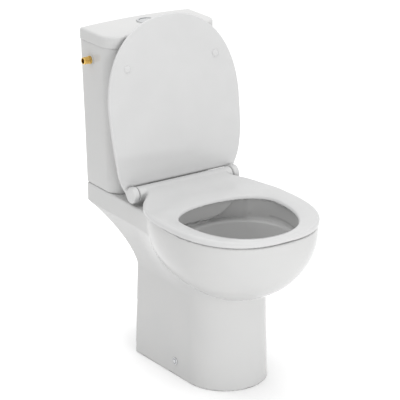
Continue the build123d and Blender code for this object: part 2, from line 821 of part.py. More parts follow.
def wing_nuts(places, top):
    """Flanged wing nuts, tight up against a face at z = top."""
    with BuildPart() as nuts:
        with BuildSketch(Plane.XY.offset(top - 2)):
            with Locations(*places):
                Circle(12)
        extrude(amount=2)
        with BuildSketch(Plane.XY.offset(top - 12)):
            with Locations(*places):
                Circle(8)
        extrude(amount=10)
        with BuildSketch(Plane.XY.offset(top - 16)):
            with Locations(*places):
                Rectangle(30, 4)
        extrude(amount=12)
        with BuildSketch(Plane.XY.offset(top - 16)):
            with Locations(*places):
                Circle(bolt_radius)
        extrude(amount=16, mode=Mode.SUBTRACT)
    return nuts.part


save(wing_nuts([(-tank_bolt_x, valve_y), (tank_bolt_x, valve_y)], deck_underside), "tank_wing_nuts")
save(wing_nuts([(-hinge_bolt_x, hinge_y), (hinge_bolt_x, hinge_y)], deck_underside), "hinge_wing_nuts")

# --------------------------------------------------------------- floor fixings


def foot_side(y, z):
    """Half width of the foot's outside at a place along it and a height."""
    share = z / neck_height
    half = foot_half_width + share * (neck_half_width - foot_half_width)
    start = foot_front + foot_front_radius + share * (neck_front - foot_front)
    return foot_front_radius + (half - foot_front_radius) * (y - start) / (foot_rear - start)


foot_outer_x = foot_side(side_screw_y, side_screw_z)
foot_inner_x = foot_outer_x - wall
bracket_height = 56.0
with BuildPart() as floor_brackets:
    for side in (-1, 1):
        with BuildSketch(Plane.XZ.offset(-side_screw_y - 15)):
            with BuildLine():
                face = side * (foot_inner_x - 2)
                Polyline(
                    (face, 0), (face, bracket_height), (face - side * 4, bracket_height),
                    (face - side * 4, 5), (face - side * 32, 5), (face - side * 32, 0), close=True,
                )
            make_face()
        extrude(amount=30)
    with BuildSketch(Plane.YZ.offset(-foot_half_width)):
        with Locations((side_screw_y, side_screw_z)):
            Circle(bolt_radius - 1)
    extrude(amount=2 * foot_half_width, mode=Mode.SUBTRACT)
    with Locations((-floor_screw_x, side_screw_y, 5), (floor_screw_x, side_screw_y, 5)):
        Hole(4.5, depth=6)
save(floor_brackets.part, "floor_brackets")

for name, radius, start, end in (
    ("side_screws", bolt_radius - 1, foot_inner_x - 14, foot_outer_x + 1),
    ("screw_caps", 9.0, foot_outer_x + 0.4, foot_outer_x + 4),
):
    with BuildPart() as fixing:
        for side in (-1, 1):
            with BuildSketch(Plane.YZ.offset(side * start)):
                with Locations((side_screw_y, side_screw_z)):
                    Circle(radius)
            extrude(amount=side * (end - start))
        if name == "screw_caps":
            fillet(fixing.edges().group_by(Axis.X)[0] + fixing.edges().group_by(Axis.X)[-1], radius=1.5)
            for side in (-1, 1):
                with BuildSketch(Plane.YZ.offset(side * start)):
                    with Locations((side_screw_y, side_screw_z)):
                        Circle(bolt_radius - 1)
                extrude(amount=side * 0.6, mode=Mode.SUBTRACT)
    save(fixing.part, name)

# ------------------------------------------------------------- hinge hardware
post_half_width = 10.0
knuckle_radius = 12.0
column_half_depth = 7.0
with BuildPart() as hinge_posts:
    for side in (-1, 1):
        with BuildSketch(Plane.XY.offset(pan_top)):
            with Locations((side * hinge_bolt_x, hinge_y)):
                Circle(17)
        extrude(amount=4)
        with BuildSketch(Plane.YZ.offset(side * hinge_bolt_x - post_half_width)):
            with BuildLine():
                Polyline(
                    (hinge_y - column_half_depth, pan_top), (hinge_y + column_half_depth, pan_top),
                    (hinge_y + column_half_depth, hinge_z), (hinge_y - column_half_depth, hinge_z),
                    close=True,
                )
            make_face()
            with Locations((hinge_y, hinge_z)):
                Circle(knuckle_radius)
                Circle(pin_radius, mode=Mode.SUBTRACT)
        extrude(amount=2 * post_half_width)
        with Locations((side * hinge_bolt_x, hinge_y, pan_top)):
            Cylinder(bolt_radius, 24, mode=Mode.SUBTRACT)
save(hinge_posts.part, "hinge_posts")

with BuildPart() as hinge_bolts:
    with BuildSketch(Plane.XY.offset(deck_underside - 22)):
        with Locations((-hinge_bolt_x, hinge_y), (hinge_bolt_x, hinge_y)):
            Circle(bolt_radius)
    extrude(amount=pan_top + 12 - deck_underside + 22)
save(hinge_bolts.part, "hinge_bolts")

with BuildPart() as hinge_pins:
    for side in (-1, 1):
        with BuildSketch(Plane.YZ.offset(side * (hinge_bolt_x - 16))):
            with Locations((hinge_y, hinge_z)):
                Circle(pin_radius)
        extrude(amount=side * (ear_half_length - 5 - hinge_bolt_x + 16))
save(hinge_pins.part, "hinge_pins")

# ----------------------------------------------------------------------- seat
seat_frame = hinge_frame(0)
seat_side = side_of(seat_frame)
seat_shoulder = [(bar_half_length, 24), (143, 46), (157, 66), (170, 93), (176, 130)]
ramp_top = [(10, 16.2), (30, 10.5), (60, 1.5), (92, seat_top)]
slot_gap = 0.6

with BuildPart() as seat_ring:
    with BuildSketch(seat_frame.offset(seat_underside)):
        with BuildLine():
            tapered_outline(seat_shoulder, seat_wide, seat_half_width, seat_length)
        make_face()
    extrude(amount=seat_top - seat_underside)
    fillet(seat_ring.edges().group_by(Axis.Z)[-1].filter_by(GeomType.BSPLINE), radius=8)
    fillet(seat_ring.edges().group_by(Axis.Z)[0].filter_by(GeomType.BSPLINE), radius=4)
    # ramp from the ring's back up to the hinge bar
    with BuildSketch(seat_side):
        with BuildLine():
            slope = Spline(*ramp_top)
            Polyline(slope @ 1, (92, seat_underside + 2), (14, -12), (0, -6), (0, 6), slope @ 0)
        make_face()
    extrude(amount=bar_half_length, both=True)
    with BuildSketch(seat_side):
        Circle(bar_radius)
    extrude(amount=bar_half_length, both=True)
    # opening, dished towards its edge
    for height, flare_out in ((seat_underside, 3.0), (seat_top + 40, 0.0)):
        with BuildSketch(seat_frame.offset(height)):
            with BuildLine():
                half, front, wide, rear = seat_hole
                egg(half + flare_out, rear - flare_out, wide, front + flare_out, rim_power)
            make_face()
    loft(ruled=True, mode=Mode.SUBTRACT)
    # pockets for the hinge posts, open below and behind
    for side in (-1, 1):
        with BuildSketch(seat_side.offset(side * hinge_bolt_x - post_half_width - slot_gap)):
            Circle(knuckle_radius + slot_gap)
            with Locations((column_half_depth + slot_gap, 0)):
                Rectangle(34, 28, align=(Align.MAX, Align.MAX))
            with Locations((0, column_half_depth + slot_gap + 4)):
                Rectangle(28, 40, align=(Align.MAX, Align.MAX))
        extrude(amount=2 * (post_half_width + slot_gap), mode=Mode.SUBTRACT)
    with BuildSketch(seat_side):
        Circle(pin_radius + pivot_gap)
    extrude(amount=bar_half_length + 1, both=True, mode=Mode.SUBTRACT)
save(seat_ring.part, "seat_ring")

with BuildPart() as seat_buffers:
    with BuildSketch(Plane.XY.offset(pan_top + running_gap)):
        with Locations((-148, -10), (148, -10), (-112, -212), (112, -212)):
            SlotOverall(24, 11, rotation=90)
    extrude(amount=hinge_z + seat_underside - pan_top - running_gap)
save(seat_buffers.part, "seat_buffers")

# ---------------------------------------------------------------------- cover
cover_frame = hinge_frame(cover_angle)
cover_side = side_of(cover_frame)
cover_shoulder = [(ear_half_length, 0), (160.5, 18), (168, 38), (174, 75), (178, 115)]
hump = [(0, 19.9), (24, 18.2), (60, 12.4), (100, 9.6)]  # its back, from the hinge forward
crown = [(200, 9.8), (330, 8.9), (cover_length, cover_tip)]
hollow_end = 92.0
hollow_roof = [(-5, 17.6), (10, 16.9), (24, 14.6), (60, 6.4), (hollow_end, cover_inner)]
ear_reach = 22.0  # in front of this the hollow is as wide as the cover

with BuildPart() as seat_cover:
    with BuildSketch(cover_frame.offset(cover_inner)):
        with BuildLine():
            tapered_outline(cover_shoulder, cover_wide, cover_half_width, cover_length)
        make_face()
    extrude(amount=ear_radius - cover_inner)
    with BuildSketch(cover_side):
        with BuildLine():
            upper = Spline(*hump, *crown, tangents=[(1, 0), (1, -0.03)])
            Polyline(upper @ 1, (cover_length, cover_inner), (-5, cover_inner), (-5, hump[0][1]), upper @ 0)
        make_face()
    extrude(amount=cover_half_width + 5, both=True, mode=Mode.INTERSECT)
    # hollow over the seat's ramp: between the knuckles, then from side to side
    for half, start in ((bar_half_length + 1, -5), (cover_half_width + 5, ear_reach)):
        with BuildSketch(cover_side):
            with BuildLine():
                lower = Spline(*hollow_roof, tangents=[(1, 0), (1, -0.1)])
                Polyline(lower @ 1, (hollow_end, -5), (-5, -5), lower @ 0)
            make_face()
            with Locations((start, 0)):
                Rectangle(hollow_end, 60, align=(Align.MIN, Align.CENTER), mode=Mode.INTERSECT)
        extrude(amount=half, both=True, mode=Mode.SUBTRACT)
    # clearance round the seat's bar, and knuckles at both ends of it
    with BuildSketch(cover_side):
        Circle(bar_radius + 0.8)
        with Locations((-16, 0)):
            Rectangle(48, 60)
    extrude(amount=bar_half_length + 1, both=True, mode=Mode.SUBTRACT)
    for side in (-1, 1):
        with BuildSketch(cover_side.offset(side * (bar_half_length + 1))):
            Circle(ear_radius)
        extrude(amount=side * (ear_half_length - bar_half_length - 1))
    with BuildSketch(cover_side):
        Circle(pin_radius + pivot_gap)
    extrude(amount=ear_half_length - 4, both=True, mode=Mode.SUBTRACT)
save(seat_cover.part, "seat_cover")

with BuildPart() as cover_buffers:
    with BuildSketch(cover_frame.offset(seat_top + running_gap)):
        with Locations((-123, 294), (123, 294)):
            Circle(8)
    extrude(amount=cover_inner - seat_top - running_gap)
    fillet(cover_buffers.faces().sort_by(Axis.Y)[:2].edges(), radius=2)
save(cover_buffers.part, "cover_buffers")
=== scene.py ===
import json
from math import cos, pi, radians, sin

import bpy
import numpy as np
from mathutils import Matrix, Vector


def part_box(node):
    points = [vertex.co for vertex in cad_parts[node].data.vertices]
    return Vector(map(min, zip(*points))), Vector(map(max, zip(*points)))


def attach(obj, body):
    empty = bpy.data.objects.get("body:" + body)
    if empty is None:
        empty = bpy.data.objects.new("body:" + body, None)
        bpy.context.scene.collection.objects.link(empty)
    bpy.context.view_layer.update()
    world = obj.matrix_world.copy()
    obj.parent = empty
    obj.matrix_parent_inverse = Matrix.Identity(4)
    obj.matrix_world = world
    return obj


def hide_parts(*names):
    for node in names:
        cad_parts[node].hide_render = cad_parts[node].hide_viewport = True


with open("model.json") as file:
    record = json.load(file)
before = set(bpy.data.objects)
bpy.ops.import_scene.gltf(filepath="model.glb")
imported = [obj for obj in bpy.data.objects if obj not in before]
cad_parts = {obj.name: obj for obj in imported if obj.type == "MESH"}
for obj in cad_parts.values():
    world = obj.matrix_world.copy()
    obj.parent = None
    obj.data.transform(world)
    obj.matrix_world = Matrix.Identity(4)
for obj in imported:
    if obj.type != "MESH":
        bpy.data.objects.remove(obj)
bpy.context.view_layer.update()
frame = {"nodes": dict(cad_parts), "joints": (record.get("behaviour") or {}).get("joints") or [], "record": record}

# Close coupled toilet. The visible ceramic and plastic pieces are worked out here as
# fields: functions of x, y and z in millimetres, negative inside the piece and close to
# the distance from its surface. The frame is the CAD's: floor at z = 0, wall at high y.
MM = 0.001
PAN_STEP, SEAT_STEP, COVER_STEP = 4.15, 2.4, 2.5  # grid steps of the pieces made from fields

pan_nodes = [name for name in frame["nodes"] if name.startswith("pan")]
pan_boxes = [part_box(name) for name in pan_nodes]
pan_low = Vector(min(box[0][axis] for box in pan_boxes) / MM for axis in range(3))
pan_high = Vector(max(box[1][axis] for box in pan_boxes) / MM for axis in range(3))
tank_low, tank_high = (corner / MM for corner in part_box("cistern_tank"))
lid_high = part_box("cistern_lid")[1] / MM
seat_low, seat_high = (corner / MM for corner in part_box("seat_ring"))
collar_low, collar_high = (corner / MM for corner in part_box("button_collar"))
hinges = {joint["name"]: joint for joint in frame["joints"]}
HINGE_Y, HINGE_Z = (value / MM for value in hinges["cover_hinge"]["pos_m"][1:])
COVER_LEAN = radians(-hinges["cover_hinge"]["range_deg"][0] - 90)  # back from upright
WALL_Y = pan_high.y
RIM_Z = pan_high.z


# ------------------------------------------------------------------ field tools
def meet(a, b, radius=0.0):
    """Where two fields overlap, with the edge between them rounded."""
    if radius == 0:
        return np.maximum(a, b)
    corner = np.hypot(np.maximum(a + radius, 0), np.maximum(b + radius, 0))
    return np.minimum(np.maximum(a, b), -radius) + corner


def join(a, b, radius=0.0):
    """Both fields together, with a fillet in the crease between them."""
    return -meet(-a, -b, radius)


def cut(a, b, radius=0.0):
    """The first field without the second."""
    return meet(a, -b, radius)


def ease(value, start, end):
    """0 before start, 1 after end, and smooth between."""
    share = np.clip((value - start) / (end - start), 0, 1)
    return share * share * (3 - 2 * share)


def oval(x, y, half_x, half_y, power):
    """1 on a superellipse, less inside it."""
    return ((abs(x) / half_x) ** power + (abs(y) / half_y) ** power) ** (1 / power)


def egg(x, y, half, front, wide, rear, power):
    """Field of an egg-shaped prism that is widest at y = wide."""
    reach = np.where(y > wide, rear - wide, wide - front)
    share = oval(x, y - wide, half, reach, power)
    return (share - 1) * np.minimum(half, reach)


def evened(field, gap=0.4):
    """The same surface, as a field whose value is close to a distance."""

    def even(x, y, z):
        value = field(x, y, z)
        beside = [field(x + gap, y, z), field(x, y + gap, z), field(x, y, z + gap)]
        slopes = [near - value for near in beside]
        return value * gap / np.maximum(np.sqrt(sum(slope**2 for slope in slopes)), 0.02 * gap)

    return even


def through(points, value):
    """A smooth curve through the points (value, result), level or straight at its ends."""
    at, result = (np.array(column, float) for column in zip(*sorted(points)))
    slope = np.gradient(result, at)
    place = np.clip(np.searchsorted(at, value) - 1, 0, len(at) - 2)
    width = at[place + 1] - at[place]
    share = np.clip((value - at[place]) / width, 0, 1)
    low, high = result[place], result[place + 1]
    bend = (1 - share) * slope[place] - share * slope[place + 1]
    line = high - low
    extra = share * (1 - share) * (bend * width + (2 * share - 1) * line)
    return low + share * line + extra


# ---------------------------------------------------------------- mesh builders
def gradient(field, points, gap=0.05):
    """The field and its slope at each point."""
    value = field(*points.T)
    moved = [field(*(points + gap * step).T) for step in np.eye(3)]
    return value, np.stack([(m - value) / gap for m in moved], 1)


def surface(field, low, high, step):
    """Quads over the field's zero surface, their corners moved onto it."""
    counts = np.ceil((np.array(high) - low) / step).astype(int) + 1
    grid = [low[axis] + step * np.arange(counts[axis]) for axis in range(3)]
    values = np.ascontiguousarray(np.broadcast_to(field(*np.ix_(*grid)), counts))
    inside = values < 0
    cells, spots, rings = [], [], []
    for axis in range(3):
        one, two = (other for other in range(3) if other != axis)
        start = np.argwhere(np.diff(inside, axis=axis))
        after = start + np.eye(3, dtype=int)[axis]
        near, far = values[tuple(start.T)], values[tuple(after.T)]
        spot = start.astype(float)
        spot[:, axis] += near / (near - far)
        ring = []
        for back_one, back_two in ((1, 1), (0, 1), (0, 0), (1, 0)):
            cell = start.copy()
            cell[:, one] -= back_one
            cell[:, two] -= back_two
            ring.append(np.ravel_multi_index(cell.T, counts))
        cells += ring
        spots += [spot] * 4
        ring = np.stack(ring, 1)
        turned = (near > 0) != (axis == 1)
        ring[turned] = ring[turned, ::-1]
        rings.append(ring)
    used, index = np.unique(np.concatenate(cells), return_inverse=True)
    spots = np.concatenate(spots)
    share = np.bincount(index)
    middle = np.stack([np.bincount(index, weights=column) / share for column in spots.T], 1)
    points = np.array(low) + step * middle
    for _ in range(6):
        value, slope = gradient(field, points)
        move = slope * (value / np.maximum((slope**2).sum(1), 1e-4))[:, None]
        length = np.linalg.norm(move, axis=1, keepdims=True)
        points -= move * np.minimum(1, 0.4 * step / np.maximum(length, 1e-9))
    normals = gradient(field, points)[1]
    return points, np.searchsorted(used, np.concatenate(rings)), normals


def smooth_piece(name, points, faces):
    """A smooth-shaded object from points in millimetres."""
    mesh = bpy.data.meshes.new(name)
    mesh.from_pydata((points * MM).tolist(), [], faces)
    mesh.validate()
    mesh.shade_smooth()
    piece = bpy.data.objects.new(name, mesh)
    bpy.context.scene.collection.objects.link(piece)
    return piece


def field_piece(name, field, low, high, step, place=None):
    """A piece from a field, moved by place if the field is in a frame of its own."""
    points, faces, normals = surface(field, np.array(low, float), np.array(high, float), step)
    if place is not None:
        turn = np.array(place.to_3x3())
        points = points @ turn.T + np.array(place.translation)
        normals = normals @ turn.T
    piece = smooth_piece(name, points, faces.tolist())
    normals = normals / np.maximum(np.linalg.norm(normals, axis=1, keepdims=True), 1e-9)
    piece.data.normals_split_custom_set_from_vertices(normals.tolist())
    return piece


def ring_piece(name, rings, closed=False, crease=40):
    """A skin over a list of equal rings of points. A closed one joins its last ring to its
    first, and an open one has flat ends. Edges sharper than crease stay sharp."""
    count = len(rings[0])
    points = np.concatenate([np.asarray(ring, float) for ring in rings])
    faces = []
    for level in range(len(rings) if closed else len(rings) - 1):
        here, there = level * count, (level + 1) % len(rings) * count
        for spot in range(count):
            beside = (spot + 1) % count
            faces.append([here + spot, here + beside, there + beside, there + spot])
    if not closed:
        faces.append(list(range(count))[::-1])
        faces.append([(len(rings) - 1) * count + spot for spot in range(count)])
    piece = smooth_piece(name, points, faces)
    piece.data.set_sharp_from_angle(angle=radians(crease))
    return piece


def even_angles(edge, centre, count):
    """Angles whose points lie evenly spaced along the outline where edge(x, y) is zero."""
    fine = np.linspace(0, 2 * pi, 2880, endpoint=False)
    points = outline(edge, centre, fine)
    lengths = np.linalg.norm(np.roll(points, -1, 0) - points, axis=1)
    along = np.concatenate([[0], np.cumsum(lengths)])
    return np.interp(np.arange(count) * along[-1] / count, along, np.append(fine, 2 * pi))


def outline(edge, centre, angles):
    """Points where rays from the centre cross the outline edge(x, y) = 0."""
    near, far = np.zeros(len(angles)), np.full(len(angles), 400.0)
    for _ in range(45):
        middle = (near + far) / 2
        outside = edge(centre[0] + middle * np.cos(angles), centre[1] + middle * np.sin(angles)) > 0
        near, far = np.where(outside, near, middle), np.where(outside, middle, far)
    return np.stack([centre[0] + near * np.cos(angles), centre[1] + near * np.sin(angles)], 1)


def at_height(points, height):
    return np.column_stack([points, np.broadcast_to(height, len(points))])


def lathe(name, profile, place, count=64, crease=40):
    """A turned piece: profile is (radius, height) along local z, from end to end."""
    angles = np.arange(count) * 2 * pi / count
    rings = [
        np.column_stack([radius * np.cos(angles), radius * np.sin(angles), np.full(count, height)])
        for radius, height in profile
    ]
    closed = profile[0][0] > 0.01 and profile[-1][0] > 0.01
    piece = ring_piece(name, rings, closed=closed, crease=crease)
    piece.data.transform(Matrix.Translation(Vector(place[0]) * MM) @ place[1].to_4x4())
    return piece


def arc(centre, radius, start, end, steps):
    """Points (radius, height) of a profile's round stretch, from angle to angle in degrees."""
    angles = np.radians(np.linspace(start, end, steps))
    return [(centre[0] + radius * cos(a), centre[1] + radius * sin(a)) for a in angles]


# -------------------------------------------------------------------------- pan
BOWL_HALF, BOWL_FRONT, BOWL_WIDE, BOWL_REAR = 177.0, pan_low.y, -113.0, 150.0
BOWL_DEPTH, BOWL_SHIFT = 178.0, 8.0  # at the bowl's foot its widest line is this much further back
BOWL_POWER, RIM_POWER = 2.13, 2.15
RIM_TUCK = 0.012
RIM_RISE, RIM_STEP = 9.0, (-70, -15)  # the rim's height over the shelf, gained over this span of -y
NECK_Z, NECK_HALF, NECK_FRONT = 228.0, 101.0, -157.0
FOOT_HALF, FOOT_FRONT, FOOT_REAR = 109.5, -165.0, 158.0
SHELF_HALF, SHELF_Z = 142.5, 352.0
FLARE_POWER, FLARE_SPAN = 1.38, (-64, 20)  # how the neck widens to the shelf
BACK_POWER, BACK_ROOT = 1.65, 1.5  # how the back of the foot curves out to the wall

# walls and hollows
WALL = 12.0
DECK_Z = RIM_Z - 14  # underside of the top wall
FOOT_CEILING_Z, SHELF_HOLLOW_Y = 204.0, 26.0
BACK_BEAM = 14.0  # height of the wall across the back, under the shelf
LEDGE_Z = 359.0  # floor of the flushing channel and of the ledge round the bowl
CASE_HALF, CASE_FRONT = 59.0, 20.0  # walls round the flushing channel
CHANNEL_HALF, CHANNEL_FLARE, FLARE_STEP = 33.0, 17.0, (-40, 10)  # widens over this span of -y
CHANNEL_Y, CHANNEL_REACH, CHANNEL_Z, CHANNEL_RISE = 133.0, 117.0, 370.0, 5.0

# trap and outlet
OUTLET_END, OUTLET_Z = 234.0, 180.0
TRAP_ROUTE = [
    (-60, 212), (-60, 131), (13.2, 131),
    (107.7, 295), (174, OUTLET_Z), (OUTLET_END, OUTLET_Z),
]
TRAP_BEND, TRAP_RADIUS, TRAP_BORE = 46.0, 44.0, 34.0
SPIGOT_RADIUS, SPIGOT_Y, SPIGOT_HALF = 51.0, 215.5, 18.5

# holes for the object's own fasteners
VALVE_Y = float(np.mean([corner.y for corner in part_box("flush_valve_base")])) / MM
VALVE_HOLE, RECESS_RADIUS, RECESS_Z = 33.0, 47.0, 376.0
BOLT_HOLE, BOLT_HOLE_Z = 6.0, 360.0
TANK_BOLT_X, HINGE_POST_X = 85.0, 77.5
SIDE_SCREW_Y, SIDE_SCREW_Z, SIDE_SCREW_HOLE, SIDE_SCREW_START = -8.0, 36.5, 5.0, 60.0


def bowl_outside(x, y, z):
    """0 on the outside of the bowl, whose rim is tucked in a little at its top."""
    depth = np.maximum(RIM_Z - z, 0) / BOWL_DEPTH
    middle = BOWL_WIDE + BOWL_SHIFT * depth
    across = (abs(x) / BOWL_HALF) ** RIM_POWER
    ahead = (np.maximum(middle - y, 0) / (BOWL_WIDE - BOWL_FRONT)) ** RIM_POWER
    behind = (np.maximum(y - middle, 0) / (BOWL_REAR - BOWL_WIDE)) ** RIM_POWER
    reach = ((behind + np.sqrt(behind**2 + 4 * (across + ahead))) / 2) ** (2 / RIM_POWER)
    tuck = RIM_TUCK * np.maximum(1 - depth, 0) ** 8
    return (reach**BOWL_POWER + depth**BOWL_POWER) ** (1 / BOWL_POWER) - 1 + tuck


def pedestal_sides(x, y, z):
    """The foot, the neck and the shelf as one upright shape with no back, top or bottom."""
    lean = np.clip(z / NECK_Z, 0, 1)
    rise = np.clip((z - NECK_Z) / (SHELF_Z - NECK_Z), 0, 1)
    centre = FOOT_FRONT + (NECK_FRONT - FOOT_FRONT) * lean + NECK_HALF
    half = FOOT_HALF + (NECK_HALF - FOOT_HALF) * lean
    spread = (half - NECK_HALF) * np.clip((y - centre) / (FOOT_REAR - centre), 0, 2)
    flare = (SHELF_HALF - NECK_HALF) * rise**FLARE_POWER * ease(y, *FLARE_SPAN)
    nose = np.hypot(x, np.minimum(y - centre, 0)) - NECK_HALF
    return np.where(y < centre, nose, abs(x) - NECK_HALF - spread - flare)


def rim_top(y):
    """Height of the pan's top: the bowl's rim stands a little above the shelf."""
    return RIM_Z + RIM_RISE * ease(-y, *RIM_STEP)


def shelf_back(z):
    """Where the back of the foot curves out to the wall under the shelf."""
    rise = np.clip((z - NECK_Z) / (SHELF_Z - NECK_Z), 0, 1)
    return WALL_Y - (WALL_Y - FOOT_REAR) * (1 - rise**BACK_POWER) ** (1 / BACK_ROOT)


def behind_pedestal(y, z):
    """Field of everything in front of shelf_back."""
    slope = shelf_back(z + 0.5) - shelf_back(z - 0.5)
    return (y - shelf_back(z)) / np.sqrt(1 + slope**2)


def route_points():
    """The trap's centre line in (y, z), with its corners rounded."""
    route = [np.array(point, float) for point in TRAP_ROUTE]
    points = [route[0]]
    for before, corner, after in zip(route, route[1:], route[2:]):
        into = (corner - before) / np.linalg.norm(corner - before)
        out = (after - corner) / np.linalg.norm(after - corner)
        turn = np.arccos(np.clip(into @ out, -1, 1))
        side = (out - into) / np.linalg.norm(out - into)
        along = (into + out) / np.linalg.norm(into + out)
        middle = corner + side * TRAP_BEND / cos(turn / 2)
        for share in np.linspace(-0.5, 0.5, 9):
            spoke = -side * cos(turn * share) + along * sin(turn * share)
            points.append(middle + TRAP_BEND * spoke)
    return points + [route[-1]]


trap_points = route_points()


def trap_distance(x, y, z):
    """Distance from the trap's centre line."""
    best = np.inf
    for one, two in zip(trap_points, trap_points[1:]):
        way = two - one
        share = np.clip(((y - one[0]) * way[0] + (z - one[1]) * way[1]) / (way @ way), 0, 1)
        best = np.minimum(best, np.hypot(y - one[0] - share * way[0], z - one[1] - share * way[1]))
    return np.hypot(x, best)


# the bowl's hollow: (height, half width), (height, front y) and (height, rear y)
basin_half = [
    (200, 34), (216, 44), (240, 68), (268, 92),
    (300, 112), (330, 124), (359, 134), (368, 137),
]
basin_front = [
    (200, -94), (216, -110), (240, -152), (268, -194),
    (300, -226), (330, -244), (359, -258), (368, -261),
]
basin_rear = [
    (200, -26), (216, -23), (240, -20), (268, -15),
    (300, -10), (330, -4), (359, 3), (368, 6),
]
BASIN_TOP = 366.0
MOUTH_HALF, MOUTH_FRONT, MOUTH_WIDE, MOUTH_REAR = 139.0, -264.0, -98.0, 11.0
# lower edge of the lip over the water's inlet, as (x, height), and how far the wall steps
# back below it, as (x, depth)
lip_edge = [
    (-107, 383), (-70, 372), (-41, 367.2), (-15, 364.5), (3, 364.2),
    (21, 366.5), (41, 376), (60, 391), (74, 408), (90, 424),
]
lip_step = [(-110, 0), (-60, 4), (0, 4.5), (25, 9), (45, 13), (60, 11), (85, 4), (105, 0)]
POCKET_FRONT = -80.0


def basin(x, y, z):
    """The bowl's hollow below its mouth."""
    half, front, rear = (through(table, z) for table in (basin_half, basin_front, basin_rear))
    return oval(x, y - (front + rear) / 2, half, (rear - front) / 2, RIM_POWER) - 1


def hole(x, y, radius, at_x, at_y):
    """Upright holes at at_x on both sides of the middle."""
    return np.hypot(abs(x) - at_x, y - at_y) - radius


even_bowl, even_basin = evened(bowl_outside), evened(basin)


def bowl_inside(x, y, z):
    """The whole hollow of the bowl: mouth, basin and the pocket behind the lip."""
    lip = egg(x, y, MOUTH_HALF, MOUTH_FRONT, MOUTH_WIDE, MOUTH_REAR, RIM_POWER)
    mouth = meet(lip, LEDGE_Z - z, 3)
    step = through(lip_step, x)
    pocket = meet(lip - step + 3 - 3 * ease(step, 0, 3), z - through(lip_edge, x), 2)
    pocket = np.maximum(np.maximum(pocket, LEDGE_Z - z), POCKET_FRONT - y)
    bowl = meet(even_basin(x, y, z), z - BASIN_TOP)
    return join(join(mouth, bowl, 5), pocket, 1)


def hollows(x, y, z):
    """The open-backed hollow of the foot, and the one under the shelf."""
    core = pedestal_sides(x, y, z) + WALL
    foot_core = np.maximum(core, z - FOOT_CEILING_Z)
    shelf_core = meet(np.maximum(core, SHELF_HOLLOW_Y - y), z - DECK_Z, 4)
    open_back = np.minimum(y - WALL_Y + WALL, z - SHELF_Z + BACK_BEAM)
    return np.maximum(np.minimum(foot_core, shelf_core), open_back)


def waterway(x, y, z):
    """The flushing channel, the valve's hole into it and the recess round that hole."""
    half = CHANNEL_HALF + CHANNEL_FLARE * ease(-y, *FLARE_STEP)
    sides = np.maximum(abs(x) - half, abs(y - CHANNEL_Y) - CHANNEL_REACH)
    channel = meet(sides, abs(z - CHANNEL_Z) - CHANNEL_RISE, 3)
    valve = hole(x, y, VALVE_HOLE, 0, VALVE_Y)
    recess = np.minimum(np.maximum(valve, LEDGE_Z - z), hole(x, y, RECESS_RADIUS, 0, VALVE_Y))
    floor_z = np.where(np.hypot(x, y - VALVE_Y) < VALVE_HOLE, LEDGE_Z, RECESS_Z)
    return np.minimum(channel, np.maximum(recess, floor_z - z))


def pan_field(x, y, z):
    outside = meet(pedestal_sides(x, y, z), behind_pedestal(y, z), 3)
    outside = join(outside, even_bowl(x, y, z), 9)
    outside = meet(meet(outside, z - rim_top(y), 3.5), -z, 2)
    solid = cut(outside, hollows(x, y, z), 2)
    casing = np.maximum(abs(x) - CASE_HALF, LEDGE_Z - WALL - z)
    casing = np.maximum(casing, np.maximum(CASE_FRONT - y, y - WALL_Y + 2))
    solid = join(solid, np.maximum(casing, z - RIM_Z + 3), 3)
    route = trap_distance(x, y, z)
    pipe = np.maximum(route - TRAP_RADIUS, y - OUTLET_END)
    spigot = np.hypot(x, z - OUTLET_Z) - SPIGOT_RADIUS
    spigot = np.maximum(spigot, abs(y - SPIGOT_Y) - SPIGOT_HALF)
    solid = join(solid, join(pipe, spigot, 3), 6)
    solid = cut(solid, bowl_inside(x, y, z), 4)
    solid = cut(solid, route - TRAP_BORE, 3)
    solid = cut(solid, waterway(x, y, z), 1)
    tank_bolts = hole(x, y, BOLT_HOLE, TANK_BOLT_X, VALVE_Y)
    bolts = np.minimum(tank_bolts, hole(x, y, BOLT_HOLE, HINGE_POST_X, HINGE_Y))
    solid = cut(solid, np.maximum(bolts, BOLT_HOLE_Z - z))
    screws = np.hypot(y - SIDE_SCREW_Y, z - SIDE_SCREW_Z) - SIDE_SCREW_HOLE
    return cut(solid, np.maximum(screws, SIDE_SCREW_START - abs(x)))


def make_pan():
    margin = 6.0
    low = (pan_low.x - margin, pan_low.y - margin, pan_low.z - margin)
    high = (-low[0], pan_high.y + margin, pan_high.z + RIM_RISE + margin)
    return field_piece("pan_casting", pan_field, low, high, PAN_STEP)


# ------------------------------------------------------------ cistern and its lid
def bowed(half, front, bow, rear, front_corner, rear_corner, x, y):
    """Outline with a flat back, flat sides and a bowed front."""
    radius = (half**2 + bow**2) / (2 * bow)
    front_side = np.hypot(x, y - (front - bow + radius)) - radius
    box = meet(abs(x) - half, front_side, front_corner)
    return meet(box, y - rear, rear_corner)


TANK_FRONT, TANK_BOW, TANK_CORNER = 189.0, 12.0, 36.0
TANK_WALL, TANK_FLOOR, REAR_CORNER = 8.0, 10.0, 3.5
TANK_BASE_HALF = SHELF_HALF
LID_FRONT, LID_WALL, LID_ROUND = 186.5, 10.0, 6.0
LID_DROP, LID_DROP_AT = 5.1, lid_high.x + 5  # the crown has fallen this far at this x
LID_PLATE_Z, COLLAR_SEAT_Z = 780.0, 789.5  # underside of the lid's top, floor of its recess
LID_RECESS, LID_BORE, LID_HUB = 25.0, 22.2, 24.0  # radii round the push button
OUTLINE_POINTS = 220


def tank_half(z):
    """The cistern widens evenly from its base to its top."""
    share = (z - tank_low.z) / (tank_high.z - tank_low.z)
    return TANK_BASE_HALF + (tank_high.x - TANK_BASE_HALF) * share


